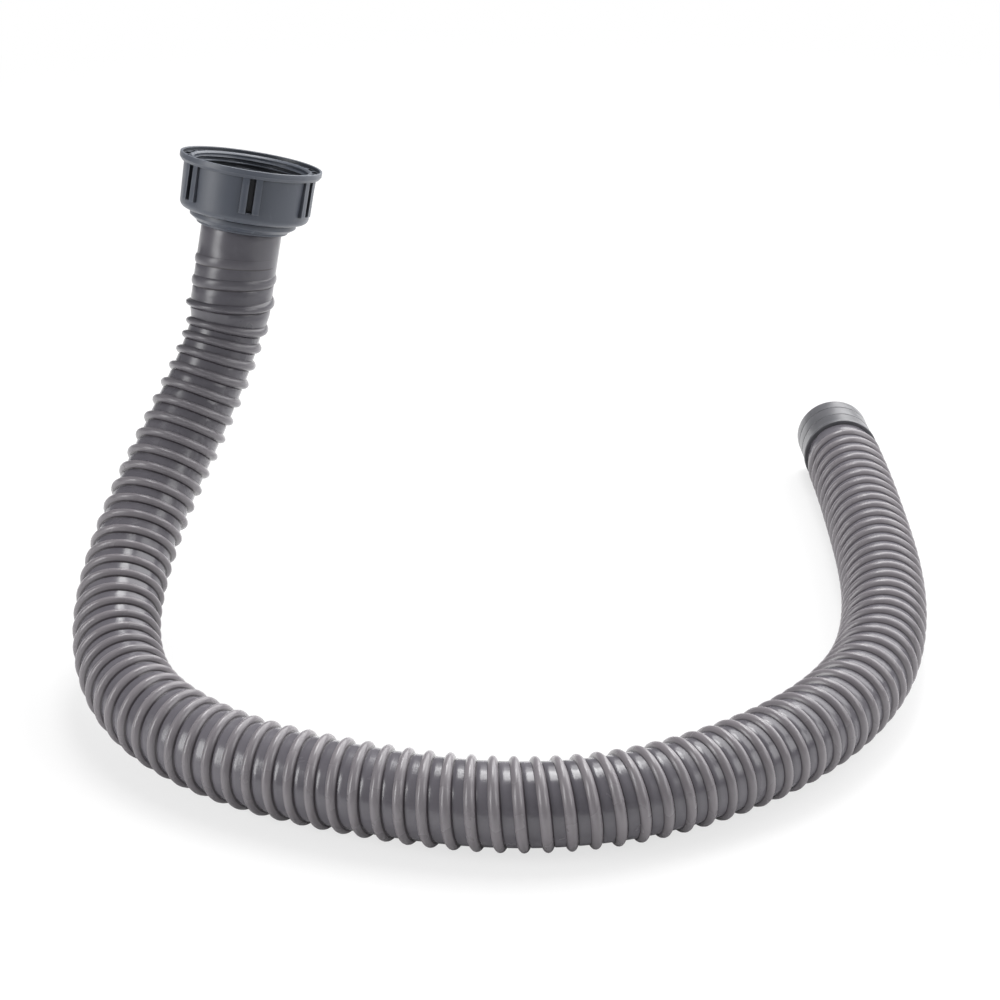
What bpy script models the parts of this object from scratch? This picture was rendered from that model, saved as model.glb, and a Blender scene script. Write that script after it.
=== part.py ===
"""Sink drain hose with a swivelling union nut at its inlet and a plain cuff at its outlet.

The ribbed hose lies in a wide U on the ground. Its inlet end stands up at the left and is pushed onto
a flanged tail, on which the union nut turns. A sealing washer lies on the tail's flange inside the nut.
The outlet end lies at the right in a smooth cuff.

Units are metres and +Z is up. The origin is on the ground, under the middle of the whole part.
"""

import math

import bmesh
import bpy
import numpy as np
from mathutils import Matrix, Vector

# Route of the hose's centre line, from its inlet end under the tail to its outlet end in the cuff
ROUTE = [
    (-0.1286, 0.0700, 0.1865),
    (-0.1310, 0.0673, 0.1730),
    (-0.1334, 0.0646, 0.1595),
    (-0.1358, 0.0619, 0.1460),
    (-0.1415, 0.0555, 0.1280),
    (-0.1511, 0.0455, 0.1075),
    (-0.1631, 0.0295, 0.0850),
    (-0.1735, 0.0095, 0.0655),
    (-0.1804, -0.0150, 0.0490),
    (-0.1825, -0.0420, 0.0370),
    (-0.1781, -0.0705, 0.0285),
    (-0.1662, -0.0976, 0.0239),
    (-0.1470, -0.1205, 0.0218),
    (-0.1150, -0.1434, 0.0203),
    (-0.0790, -0.1595, 0.0203),
    (-0.0405, -0.1715, 0.0203),
    (0.0040, -0.1773, 0.0203),
    (0.0485, -0.1706, 0.0203),
    (0.0847, -0.1539, 0.0203),
    (0.1173, -0.1304, 0.0203),
    (0.1444, -0.1008, 0.0203),
    (0.1640, -0.0661, 0.0203),
    (0.1754, -0.0275, 0.0203),
    (0.1818, 0.0220, 0.0203),
    (0.1829, 0.0820, 0.0203),
    (0.1816, 0.1420, 0.0203),
    (0.1801, 0.1703, 0.0203),
]

# Ribbed hose
HOSE_WALL_RADIUS = 0.0181
HOSE_WALL = 0.0018
RIB_HEIGHT = 0.0022
NECK_RIB_HEIGHT = 0.0008
RIB_WIDTH = 0.0046
RIB_PITCH = 0.00938
FIRST_RIB = 0.01325
RIB_FADE_TURNS = 0.5
NECK_RIBS_END = 0.0280
NECK_LENGTH = 0.0395
NECK_TAPER = 0.0110
WAIST_RADIUS = 0.0172
WAIST_LENGTH = 0.0600
HOSE_SIDES = 14
RIB_START_TURN = -3 / HOSE_SIDES
NECK_RINGS = 4
BORE_STEP = 0.0150

# Flanged tail inside the neck of the hose
SPIGOT_RADIUS = 0.0176
SPIGOT_LENGTH = 0.0380
TAIL_BORE_RADIUS = 0.0158
BEAD_RADIUS = 0.0219
BEAD_HEIGHT = 0.0012
COLLAR_WIDTH = 0.0029
COLLAR_CONE_HEIGHT = 0.0020
COLLAR_HEIGHT = 0.0026
FLANGE_WIDTH = 0.0032
FLANGE_THICKNESS = 0.0030
TAIL_SIDES = 40

# Sealing washer on the flange
WASHER_WIDTH = 0.0083
WASHER_THICKNESS = 0.0030

# Union nut
NUT_HEIGHT = 0.0260
NUT_TOP_RADIUS = 0.0316
NUT_DRAFT = 0.0007
NUT_WALL = 0.0043
NUT_FOOT_ROUNDING = 0.0030
NUT_LIP_THICKNESS = 0.0041
NUT_MOUTH_CHAMFER = 0.0006
RIM_OVERHANG = 0.0023
RIM_STEP = 0.0013
RIM_EDGE_HEIGHT = 0.0027
RIM_CHAMFER_HEIGHT = 0.0028
RIM_RING_WIDTH = 0.0013
RIM_LIP_WIDTH = 0.0016
RIM_LIP_DROP = 0.0008
RIM_CHANNEL_DEPTH = 0.0016
POCKET_COUNT = 24
POCKET_DEPTH = 0.0026
POCKET_SHARE = 0.72
POCKET_TURN = math.radians(-3)
GRIP_PAIRS = 6
GRIP_WIDTH = 0.0034
GRIP_GAP = 0.0027
GRIP_HEIGHT = 0.0011
GRIP_FOOT = 0.0052
GRIP_TURN = math.radians(16)
SLOT_SHARE = 0.5
SLOT_FOOT_RISE = 0.0006
NUT_SIDES = 48

# Outlet cuff
CUFF_RADIUS = 0.0187
CUFF_WALL = 0.0019
CUFF_REACH = 0.0271
CUFF_LIP_HEIGHT = 0.0013
CUFF_LIP_WIDTH = 0.0025
CUFF_SPIGOT_LENGTH = 0.0120
CUFF_SPIGOT_WALL = 0.0014
CUFF_GROOVE_WIDTH = 0.0006
CUFF_GROOVE_DEPTH = 0.0004
CUFF_FIRST_GROOVE = 0.0110
CUFF_GROOVE_STEP = 0.0091
CUFF_EDGE = 0.0006
CUFF_SIDES = 36

SHARP_EDGE = math.radians(35)

# Clearances between pieces
SEAT_GAP = 0.0003
TURNING_GAP = 0.0004
FLANGE_CLEARANCE = 0.0015

# Sizes that follow from the fits
FLAT_SHARE = math.cos(math.pi / HOSE_SIDES)
NECK_BORE_RADIUS = (SPIGOT_RADIUS + SEAT_GAP) / FLAT_SHARE
NECK_WALL_RADIUS = NECK_BORE_RADIUS + HOSE_WALL
NUT_BORE_RADIUS = NUT_TOP_RADIUS - NUT_WALL
NUT_FOOT_RADIUS = NUT_TOP_RADIUS - NUT_DRAFT
RIM_RADIUS = NUT_TOP_RADIUS + RIM_OVERHANG
FLANGE_RADIUS = NUT_BORE_RADIUS - FLANGE_CLEARANCE
WASHER_INNER_RADIUS = FLANGE_RADIUS - WASHER_WIDTH
BARREL_RADIUS = FLANGE_RADIUS - FLANGE_WIDTH
COLLAR_RADIUS = BARREL_RADIUS + COLLAR_WIDTH
CUFF_BORE_RADIUS = CUFF_RADIUS - CUFF_WALL
CUFF_LIP_RADIUS = CUFF_RADIUS + CUFF_LIP_HEIGHT
CUFF_SPIGOT_RADIUS = (HOSE_WALL_RADIUS - HOSE_WALL) * FLAT_SHARE - SEAT_GAP
COLLAR_TOP = SEAT_GAP + BEAD_HEIGHT + COLLAR_CONE_HEIGHT + COLLAR_HEIGHT
NUT_FOOT = COLLAR_TOP + SEAT_GAP
NUT_LIP_TOP = NUT_FOOT + NUT_LIP_THICKNESS
FLANGE_FOOT = NUT_LIP_TOP + TURNING_GAP
FLANGE_TOP = FLANGE_FOOT + FLANGE_THICKNESS
WASHER_FOOT = FLANGE_TOP + SEAT_GAP
NUT_TOP = NUT_FOOT + NUT_HEIGHT


def clear_scene():
    """Removes every object of the open scene."""
    for item in list(bpy.data.objects):
        bpy.data.objects.remove(item, do_unlink=True)


def plastic(name, colour, roughness):
    """Makes a plain non-metallic material.

    Args:
        name: the material's name.
        colour: its base colour as three linear values.
        roughness: its Principled roughness.
    """
    material = bpy.data.materials.new(name)
    material.use_nodes = True
    shader = material.node_tree.nodes["Principled BSDF"]
    shader.inputs["Base Color"].default_value = (*colour, 1.0)
    shader.inputs["Roughness"].default_value = roughness
    shader.inputs["Metallic"].default_value = 0.0
    material.diffuse_color = (*colour, 1.0)
    return material


def natural_spline(points, distances):
    """Reads a smooth curve through points at given distances along its chords.

    Args:
        points: the points of the route, one row each.
        distances: chord distances at which the curve is read.

    Returns:
        The points of the curve, one row for each distance.
    """
    spans = np.linalg.norm(np.diff(points, axis=0), axis=1)
    knots = np.concatenate([[0.0], np.cumsum(spans)])
    count = len(points)
    system = np.eye(count)
    slopes = np.diff(points, axis=0) / spans[:, None]
    target = np.zeros_like(points)
    for row in range(1, count - 1):
        system[row, row - 1:row + 2] = (spans[row - 1], 2 * (spans[row - 1] + spans[row]), spans[row])
        target[row] = 6 * (slopes[row] - slopes[row - 1])
    bends = np.linalg.solve(system, target)
    span = np.clip(np.searchsorted(knots, distances, side="right") - 1, 0, count - 2)
    width = spans[span][:, None]
    before = (np.asarray(distances) - knots[span])[:, None]
    after = width - before
    curved = (bends[span] * after ** 3 + bends[span + 1] * before ** 3) / (6 * width)
    straight_start = (points[span] / width - bends[span] * width / 6) * after
    straight_end = (points[span + 1] / width - bends[span + 1] * width / 6) * before
    return curved + straight_start + straight_end


class CentreLine:
    """The hose's centre line, measured by its true length, with frames that don't twist.

    The first side of each frame points straight up at the outlet end, and is carried back from there.
    """

    SAMPLES = 1600

    def __init__(self, points):
        """Measures the smooth curve through the route's points.

        Args:
            points: the route's points, inlet end first.
        """
        points = np.array(points)
        chord_total = np.linalg.norm(np.diff(points, axis=0), axis=1).sum()
        self.places = natural_spline(points, np.linspace(0.0, chord_total, self.SAMPLES))
        steps = np.linalg.norm(np.diff(self.places, axis=0), axis=1)
        self.distances = np.concatenate([[0.0], np.cumsum(steps)])
        self.length = self.distances[-1]
        tangents = np.gradient(self.places, self.distances, axis=0)
        self.tangents = tangents / np.linalg.norm(tangents, axis=1)[:, None]
        self.sides = np.zeros_like(self.tangents)
        side = np.array((0.0, 0.0, 1.0))
        for index in range(self.SAMPLES - 1, -1, -1):
            side = side - self.tangents[index] * (side @ self.tangents[index])
            side = side / np.linalg.norm(side)
            self.sides[index] = side

    def read(self, values, distance):
        """Reads a sampled vector at a distance along the line."""
        return np.array([np.interp(distance, self.distances, values[:, axis]) for axis in range(3)])

    def frame(self, distance):
        """Gives the place, tangent, first side and second side at a distance along the line."""
        tangent = self.read(self.tangents, distance)
        tangent = tangent / np.linalg.norm(tangent)
        side = self.read(self.sides, distance)
        side = side - tangent * (side @ tangent)
        side = side / np.linalg.norm(side)
        return self.read(self.places, distance), tangent, side, np.cross(tangent, side)

    def surface_point(self, distance, angle, radius):
        """Gives the point at a distance along the line, an angle about it and a radius from it."""
        place, _, side, other_side = self.frame(distance)
        return Vector(place + radius * (math.cos(angle) * side + math.sin(angle) * other_side))


def ease(value):
    """Eases from 0 to 1 as value goes from 0 to 1."""
    value = min(max(value, 0.0), 1.0)
    return value * value * (3.0 - 2.0 * value)


def wall_radius(distance):
    """Gives the outside radius of the hose's wall, stretched over the spigot and pinched below it."""
    waist = NECK_LENGTH + NECK_TAPER
    if distance < waist:
        pinched = ease((distance - NECK_LENGTH) / NECK_TAPER)
        return NECK_WALL_RADIUS + (WAIST_RADIUS - NECK_WALL_RADIUS) * pinched
    relaxed = ease((distance - waist) / WAIST_LENGTH)
    return WAIST_RADIUS + (HOSE_WALL_RADIUS - WAIST_RADIUS) * relaxed


def rib_height(distance):
    """Gives the height of the rib over the wall, which is low where the neck is stretched."""
    full = ease((distance - NECK_RIBS_END) / (NECK_LENGTH - NECK_RIBS_END))
    return NECK_RIB_HEIGHT + (RIB_HEIGHT - NECK_RIB_HEIGHT) * full


def finish_mesh(name, mesh_builder, material):
    """Turns a bmesh into a smooth-shaded object whose faces point outwards.

    Args:
        name: the object's name.
        mesh_builder: the bmesh, which is freed here.
        material: the object's only material.
    """
    bmesh.ops.recalc_face_normals(mesh_builder, faces=mesh_builder.faces)
    mesh = bpy.data.meshes.new(name)
    mesh_builder.to_mesh(mesh)
    mesh_builder.free()
    mesh.materials.append(material)
    mesh.shade_smooth()
    mesh.set_sharp_from_angle(angle=SHARP_EDGE)
    item = bpy.data.objects.new(name, mesh)
    bpy.context.scene.collection.objects.link(item)
    return item


def bridge(mesh_builder, first, second):
    """Joins two rings of as many points with four-sided faces."""
    count = len(first)
    for index in range(count):
        after = (index + 1) % count
        mesh_builder.faces.new((first[index], first[after], second[after], second[index]))


def fan(mesh_builder, corner, points):
    """Fills a strip of points with triangles from one corner."""
    for first, second in zip(points, points[1:]):
        mesh_builder.faces.new((corner, first, second))


def hose_ring(mesh_builder, line, distance, radius):
    """Adds a flat ring of points round the hose."""
    ring = []
    for side in range(HOSE_SIDES):
        angle = 2 * math.pi * side / HOSE_SIDES
        ring.append(mesh_builder.verts.new(line.surface_point(distance, angle, radius)))
    return ring


def rib_rows(mesh_builder, line, turns):
    """Adds the rows of points that run round the hose along its right-handed spiral rib.

    Each pitch has three rows: the rib's first foot, its crest and its second foot. A row climbs one
    pitch in one turn, so its end meets the row that lies three rows further on.
    """
    steps = (0.0, RIB_WIDTH / 2, RIB_WIDTH)
    crests = (0.0, 1.0, 0.0)
    rows = []
    for row in range(len(steps) * turns + 1):
        pitch, part = divmod(row, len(steps))
        points = []
        for side in range(HOSE_SIDES):
            share = side / HOSE_SIDES
            turn = pitch + share
            distance = FIRST_RIB + turn * RIB_PITCH + steps[part]
            fade = ease(turn / RIB_FADE_TURNS) * ease((turns - turn) / RIB_FADE_TURNS)
            radius = wall_radius(distance) + crests[part] * rib_height(distance) * fade
            angle = 2 * math.pi * (share + RIB_START_TURN)
            points.append(mesh_builder.verts.new(line.surface_point(distance, angle, radius)))
        rows.append(points)
    return rows, len(steps)


def join_rib_rows(mesh_builder, rows, rows_per_pitch):
    """Joins neighbouring rows, and the end of each row to the row one pitch further on."""
    last_side = HOSE_SIDES - 1
    for row in range(len(rows) - 1):
        here, there = rows[row], rows[row + 1]
        for side in range(last_side):
            mesh_builder.faces.new((here[side], here[side + 1], there[side + 1], there[side]))
    for row in range(len(rows) - 1 - rows_per_pitch):
        ahead, further = rows[row + rows_per_pitch], rows[row + rows_per_pitch + 1]
        mesh_builder.faces.new((rows[row][last_side], ahead[0], further[0], rows[row + 1][last_side]))


def close_rib_ends(mesh_builder, rows, rows_per_pitch, start_ring, end_ring):
    """Joins the stepped ends of the spiral rows to the flat rings before and after them."""
    last_side = HOSE_SIDES - 1
    first, last = rows[0], rows[-1]
    for side in range(last_side):
        mesh_builder.faces.new((start_ring[side], start_ring[side + 1], first[side + 1], first[side]))
        mesh_builder.faces.new((last[side], last[side + 1], end_ring[side + 1], end_ring[side]))
    start_column = [row[0] for row in rows[:rows_per_pitch + 1]]
    fan(mesh_builder, first[last_side], [start_ring[last_side], start_ring[0], *start_column])
    end_column = [row[last_side] for row in rows[-1 - rows_per_pitch:]]
    fan(mesh_builder, last[0], [*end_column, end_ring[last_side], end_ring[0]])


def bore_distances(length):
    """Lists where the rings of the hose's bore lie: close in its tapers, and even elsewhere."""
    neck = np.linspace(0.0, NECK_LENGTH, NECK_RINGS)
    taper = np.linspace(NECK_LENGTH, NECK_LENGTH + NECK_TAPER, NECK_RINGS)[1:]
    rest_count = math.ceil((length - taper[-1]) / BORE_STEP) + 1
    rest = np.linspace(taper[-1], length, rest_count)[1:]
    return [*neck, *taper, *rest]


def make_hose(line):
    """Makes the open hose with its spiral rib, its wide neck and the waist below the neck."""
    builder = bmesh.new()
    turns = math.floor((line.length - FIRST_RIB) / RIB_PITCH) - 1
    rows, rows_per_pitch = rib_rows(builder, line, turns)
    inlet = hose_ring(builder, line, 0.0, NECK_WALL_RADIUS)
    before_rib = hose_ring(builder, line, FIRST_RIB - RIB_WIDTH / 2, NECK_WALL_RADIUS)
    outlet = hose_ring(builder, line, line.length, HOSE_WALL_RADIUS)
    join_rib_rows(builder, rows, rows_per_pitch)
    close_rib_ends(builder, rows, rows_per_pitch, before_rib, outlet)
    bridge(builder, inlet, before_rib)
    bore = []
    for distance in bore_distances(line.length):
        bore.append(hose_ring(builder, line, distance, wall_radius(distance) - HOSE_WALL))
    for here, there in zip(bore, bore[1:]):
        bridge(builder, there, here)
    bridge(builder, bore[0], inlet)
    bridge(builder, outlet, bore[-1])
    grey = plastic("hose_plastic", (0.150, 0.145, 0.148), 0.34)
    return finish_mesh("hose", builder, grey)


def turned(name, outline, sides, material):
    """Turns a closed outline of (radius, height) points about the Z axis.

    Args:
        name: the object's name.
        outline: the outline's points in order round the section.
        sides: how many flats stand for the round.
        material: the object's only material.
    """
    builder = bmesh.new()
    section = [builder.verts.new((radius, 0.0, height)) for radius, height in outline]
    edges = [builder.edges.new((point, section[index - 1])) for index, point in enumerate(section)]
    bmesh.ops.spin(
        builder, geom=[*section, *edges], cent=(0.0, 0.0, 0.0), axis=(0.0, 0.0, 1.0),
        angle=2 * math.pi, steps=sides, use_merge=True, use_duplicate=False,
    )
    return finish_mesh(name, builder, material)


def rounded_corner(centre, radius, start, end, steps=3):
    """Lists points on an arc of a section, from one angle to another in degrees."""
    angles = [math.radians(start + (end - start) * step / steps) for step in range(steps + 1)]
    return [(centre[0] + radius * math.cos(a), centre[1] + radius * math.sin(a)) for a in angles]


def make_tail(hard_plastic):
    """Makes the tail: spigot in the hose, collar under the nut, and flange inside the nut."""
    spigot_foot = -SPIGOT_LENGTH
    cone_foot = SEAT_GAP + BEAD_HEIGHT
    collar_foot = cone_foot + COLLAR_CONE_HEIGHT
    outline = [
        (TAIL_BORE_RADIUS, spigot_foot),
        (SPIGOT_RADIUS - SEAT_GAP, spigot_foot),
        (SPIGOT_RADIUS, spigot_foot + 2 * SEAT_GAP),
        (SPIGOT_RADIUS, SEAT_GAP),
        (BEAD_RADIUS, SEAT_GAP),
        (BEAD_RADIUS, cone_foot),
        (BARREL_RADIUS, cone_foot),
        (COLLAR_RADIUS, collar_foot),
        (COLLAR_RADIUS, COLLAR_TOP),
        (BARREL_RADIUS, COLLAR_TOP),
        (BARREL_RADIUS, FLANGE_FOOT),
        (FLANGE_RADIUS, FLANGE_FOOT),
        (FLANGE_RADIUS, FLANGE_TOP),
        (TAIL_BORE_RADIUS, FLANGE_TOP),
    ]
    return turned("hose_tail", outline, TAIL_SIDES, hard_plastic)


def make_washer():
    """Makes the flat sealing washer that lies on the tail's flange."""
    outline = [
        (WASHER_INNER_RADIUS, WASHER_FOOT),
        (FLANGE_RADIUS, WASHER_FOOT),
        (FLANGE_RADIUS, WASHER_FOOT + WASHER_THICKNESS),
        (WASHER_INNER_RADIUS, WASHER_FOOT + WASHER_THICKNESS),
    ]
    rubber = plastic("washer_rubber", (0.020, 0.020, 0.022), 0.80)
    return turned("sealing_washer", outline, TAIL_SIDES, rubber)


def make_block(name, size, centre, turn):
    """Makes a plain block at a radius from the Z axis and turned about it.

    Args:
        name: the block's name.
        size: its radial, tangential and upright size.
        centre: its (radius, height) before it is turned.
        turn: the angle about the Z axis.
    """
    builder = bmesh.new()
    place = Matrix.Rotation(turn, 4, "Z") @ Matrix.Translation((centre[0], 0.0, centre[1]))
    bmesh.ops.create_cube(builder, size=1.0, matrix=place @ Matrix.Diagonal((*size, 1.0)))
    mesh = bpy.data.meshes.new(name)
    builder.to_mesh(mesh)
    builder.free()
    item = bpy.data.objects.new(name, mesh)
    bpy.context.scene.collection.objects.link(item)
    return item


def join_blocks(blocks, name):
    """Joins blocks into one hidden object that cuts or adds to another."""
    builder = bmesh.new()
    for block in blocks:
        builder.from_mesh(block.data)
    mesh = bpy.data.meshes.new(name)
    builder.to_mesh(mesh)
    builder.free()
    for block in blocks:
        bpy.data.objects.remove(block, do_unlink=True)
    item = bpy.data.objects.new(name, mesh)
    bpy.context.scene.collection.objects.link(item)
    item.hide_render = True
    item.display_type = "WIRE"
    return item


def rim_pocket_cutters():
    """Makes the blocks that cut the moulding pockets into the nut's rim."""
    outer = RIM_RADIUS - RIM_RING_WIDTH
    inner = NUT_BORE_RADIUS + RIM_LIP_WIDTH
    middle = (outer + inner) / 2
    step = 2 * math.pi / POCKET_COUNT
    floor = NUT_TOP - RIM_CHANNEL_DEPTH - POCKET_DEPTH
    size = (POCKET_SHARE * (outer - inner), POCKET_SHARE * step * middle, 2 * POCKET_DEPTH)
    blocks = []
    for index in range(POCKET_COUNT):
        turn = POCKET_TURN + step * (index + 0.5)
        blocks.append(make_block("pocket", size, (middle, floor + POCKET_DEPTH), turn))
    return join_blocks(blocks, "rim_pocket_cutters")


def upright_blocks(name, radii, width, heights, turns):
    """Makes a set of upright blocks round the nut's side.

    Args:
        name: the name of the joined set.
        radii: the radius of the blocks' inner faces and that of their outer faces.
        width: their width along the nut's side.
        heights: the height of their feet and that of their tops.
        turns: their angles about the nut's axis.
    """
    size = (radii[1] - radii[0], width, heights[1] - heights[0])
    centre = (sum(radii) / 2, sum(heights) / 2)
    return join_blocks([make_block("upright", size, centre, turn) for turn in turns], name)


def grip_blocks():
    """Makes the pairs of upright grip ribs that stand on the nut's side."""
    half_step = (GRIP_WIDTH + GRIP_GAP) / 2 / NUT_TOP_RADIUS
    turns = []
    for pair in range(GRIP_PAIRS):
        middle = GRIP_TURN + 2 * math.pi * pair / GRIP_PAIRS
        turns.extend((middle - half_step, middle + half_step))
    radii = (NUT_FOOT_RADIUS - GRIP_HEIGHT, NUT_TOP_RADIUS + GRIP_HEIGHT)
    heights = (NUT_FOOT + GRIP_FOOT, NUT_TOP - RIM_EDGE_HEIGHT)
    return upright_blocks("grip_blocks", radii, GRIP_WIDTH, heights, turns)


def slot_cutters():
    """Makes the blocks that cut a slot into the nut's side between the two ribs of each pair."""
    turns = [GRIP_TURN + 2 * math.pi * pair / GRIP_PAIRS for pair in range(GRIP_PAIRS)]
    radii = (NUT_TOP_RADIUS - SLOT_SHARE * NUT_WALL, RIM_RADIUS + RIM_OVERHANG)
    top = NUT_TOP - RIM_EDGE_HEIGHT - RIM_CHAMFER_HEIGHT + SEAT_GAP
    heights = (NUT_FOOT + GRIP_FOOT + SLOT_FOOT_RISE, top)
    return upright_blocks("slot_cutters", radii, GRIP_GAP, heights, turns)


def make_nut(hard_plastic):
    """Makes the union nut: lip, threaded cavity, flared rim, rim pockets, grip ribs and slots."""
    body_top = NUT_TOP - RIM_EDGE_HEIGHT - RIM_CHAMFER_HEIGHT
    ring_inside = RIM_RADIUS - RIM_RING_WIDTH
    lip_outside = NUT_BORE_RADIUS + RIM_LIP_WIDTH
    channel = NUT_TOP - RIM_CHANNEL_DEPTH
    lip_top = NUT_TOP - RIM_LIP_DROP
    rounding_centre = (NUT_FOOT_RADIUS - NUT_FOOT_ROUNDING, NUT_FOOT + NUT_FOOT_ROUNDING)
    outline = [
        (BARREL_RADIUS + TURNING_GAP, NUT_FOOT),
        *rounded_corner(rounding_centre, NUT_FOOT_ROUNDING, -90, 0),
        (NUT_TOP_RADIUS, body_top),
        (NUT_TOP_RADIUS + RIM_STEP, body_top),
        (RIM_RADIUS, NUT_TOP - RIM_EDGE_HEIGHT),
        (RIM_RADIUS, NUT_TOP),
        (ring_inside, NUT_TOP),
        (ring_inside, channel),
        (lip_outside, channel),
        (lip_outside, lip_top),
        (NUT_BORE_RADIUS + NUT_MOUTH_CHAMFER, lip_top),
        (NUT_BORE_RADIUS, lip_top - NUT_MOUTH_CHAMFER),
        (NUT_BORE_RADIUS, NUT_LIP_TOP),
        (BARREL_RADIUS + TURNING_GAP, NUT_LIP_TOP),
    ]
    nut = turned("union_nut", outline, NUT_SIDES, hard_plastic)
    steps = (("UNION", grip_blocks()), ("DIFFERENCE", slot_cutters()), ("DIFFERENCE", rim_pocket_cutters()))
    for operation, tool in steps:
        change = nut.modifiers.new(tool.name, "BOOLEAN")
        change.operation = operation
        change.object = tool
        tool.parent = nut
    return nut


def make_cuff():
    """Makes the smooth outlet cuff: spigot in the hose, raised lip, and body with two fine grooves."""
    lip_top = SEAT_GAP + CUFF_LIP_WIDTH
    spigot_inside = CUFF_SPIGOT_RADIUS - CUFF_SPIGOT_WALL
    grooves = []
    for place in (CUFF_FIRST_GROOVE, CUFF_FIRST_GROOVE + CUFF_GROOVE_STEP):
        grooves.append((CUFF_RADIUS, place - CUFF_GROOVE_WIDTH / 2))
        grooves.append((CUFF_RADIUS - CUFF_GROOVE_DEPTH, place))
        grooves.append((CUFF_RADIUS, place + CUFF_GROOVE_WIDTH / 2))
    outline = [
        (spigot_inside, -CUFF_SPIGOT_LENGTH),
        (CUFF_SPIGOT_RADIUS, -CUFF_SPIGOT_LENGTH),
        (CUFF_SPIGOT_RADIUS, SEAT_GAP),
        (CUFF_LIP_RADIUS - CUFF_EDGE, SEAT_GAP),
        (CUFF_LIP_RADIUS, SEAT_GAP + CUFF_EDGE),
        (CUFF_LIP_RADIUS, lip_top - CUFF_EDGE),
        (CUFF_RADIUS, lip_top),
        *grooves,
        (CUFF_RADIUS, CUFF_REACH - CUFF_EDGE),
        (CUFF_RADIUS - CUFF_EDGE, CUFF_REACH),
        (CUFF_BORE_RADIUS, CUFF_REACH),
        (CUFF_BORE_RADIUS, lip_top),
        (spigot_inside, lip_top),
    ]
    cuff_grey = plastic("cuff_plastic", (0.150, 0.155, 0.168), 0.40)
    return turned("outlet_cuff", outline, CUFF_SIDES, cuff_grey)


def make_end_frame(name, place, axis, side):
    """Makes an empty at one end of the hose, with its Z axis out of the hose.

    Args:
        name: the empty's name.
        place: where the hose's end is.
        axis: the direction out of the hose.
        side: a direction across it, which becomes the empty's X axis.
    """
    other = np.cross(axis, side)
    frame = bpy.data.objects.new(name, None)
    turn = Matrix((side, other, axis)).transposed().to_4x4()
    frame.matrix_world = Matrix.Translation(place) @ turn
    bpy.context.scene.collection.objects.link(frame)
    return frame


def build():
    """Builds the whole part."""
    clear_scene()
    line = CentreLine(ROUTE)
    make_hose(line)
    hard_plastic = plastic("hard_plastic", (0.105, 0.118, 0.135), 0.50)
    place, tangent, side, _ = line.frame(0.0)
    inlet_frame = make_end_frame("inlet_frame", place, -tangent, side)
    for item in (make_tail(hard_plastic), make_washer(), make_nut(hard_plastic)):
        item.parent = inlet_frame
    place, tangent, side, _ = line.frame(line.length)
    outlet_frame = make_end_frame("outlet_frame", place, tangent, side)
    make_cuff().parent = outlet_frame


build()
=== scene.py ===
"""Fine model of a ribbed sink drain hose, dressed over its fixed frame.

The hose, its flanged tail, sealing washer, union nut and outlet cuff are each a surface worked out on a
grid of two parameters. Lengths are metres and +Z is up, in the same frame as the solids.
"""

from __future__ import annotations

import logging
import math
from dataclasses import dataclass
from enum import Enum

import bmesh
import bpy
import numpy as np
from mathutils import Matrix, Vector

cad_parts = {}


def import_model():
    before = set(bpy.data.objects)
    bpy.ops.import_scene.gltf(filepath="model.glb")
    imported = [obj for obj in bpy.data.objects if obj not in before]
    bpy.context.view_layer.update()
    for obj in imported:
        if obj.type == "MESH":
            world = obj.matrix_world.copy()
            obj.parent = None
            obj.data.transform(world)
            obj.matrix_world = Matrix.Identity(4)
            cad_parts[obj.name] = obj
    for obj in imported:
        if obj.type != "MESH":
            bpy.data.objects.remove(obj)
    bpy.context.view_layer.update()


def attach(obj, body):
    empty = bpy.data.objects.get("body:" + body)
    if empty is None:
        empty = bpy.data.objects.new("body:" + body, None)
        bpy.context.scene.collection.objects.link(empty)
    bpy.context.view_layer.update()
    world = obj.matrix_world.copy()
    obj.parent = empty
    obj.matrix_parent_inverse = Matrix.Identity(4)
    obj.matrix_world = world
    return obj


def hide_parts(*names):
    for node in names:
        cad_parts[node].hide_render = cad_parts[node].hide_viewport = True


LOG = logging.getLogger("drain_hose")
TURN = 2.0 * math.pi

Triple = tuple[float, float, float]
Pair = tuple[float, float]
Socket = bpy.types.NodeSocket

# Route of the hose's centre line, from its inlet end under the tail to its outlet end in the cuff
ROUTE = (
    (-0.1286, 0.0700, 0.1865),
    (-0.1310, 0.0673, 0.1730),
    (-0.1334, 0.0646, 0.1595),
    (-0.1358, 0.0619, 0.1460),
    (-0.1415, 0.0555, 0.1280),
    (-0.1511, 0.0455, 0.1075),
    (-0.1631, 0.0295, 0.0850),
    (-0.1735, 0.0095, 0.0655),
    (-0.1804, -0.0150, 0.0490),
    (-0.1825, -0.0420, 0.0370),
    (-0.1781, -0.0705, 0.0285),
    (-0.1662, -0.0976, 0.0239),
    (-0.1470, -0.1205, 0.0218),
    (-0.1150, -0.1434, 0.0203),
    (-0.0790, -0.1595, 0.0203),
    (-0.0405, -0.1715, 0.0203),
    (0.0040, -0.1773, 0.0203),
    (0.0485, -0.1706, 0.0203),
    (0.0847, -0.1539, 0.0203),
    (0.1173, -0.1304, 0.0203),
    (0.1444, -0.1008, 0.0203),
    (0.1640, -0.0661, 0.0203),
    (0.1754, -0.0275, 0.0203),
    (0.1818, 0.0220, 0.0203),
    (0.1829, 0.0820, 0.0203),
    (0.1816, 0.1420, 0.0203),
    (0.1801, 0.1703, 0.0203),
)


class Body(Enum):
    """Moving bodies of the part."""

    HOSE = "hose_body"
    NUT = "nut_body"


class Slot(Enum):
    """Names of material slots, which no piece here uses."""

    HOSE = "hose_plastic"
    HARD = "hard_plastic"
    RUBBER = "washer_rubber"
    CUFF = "cuff_plastic"


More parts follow.
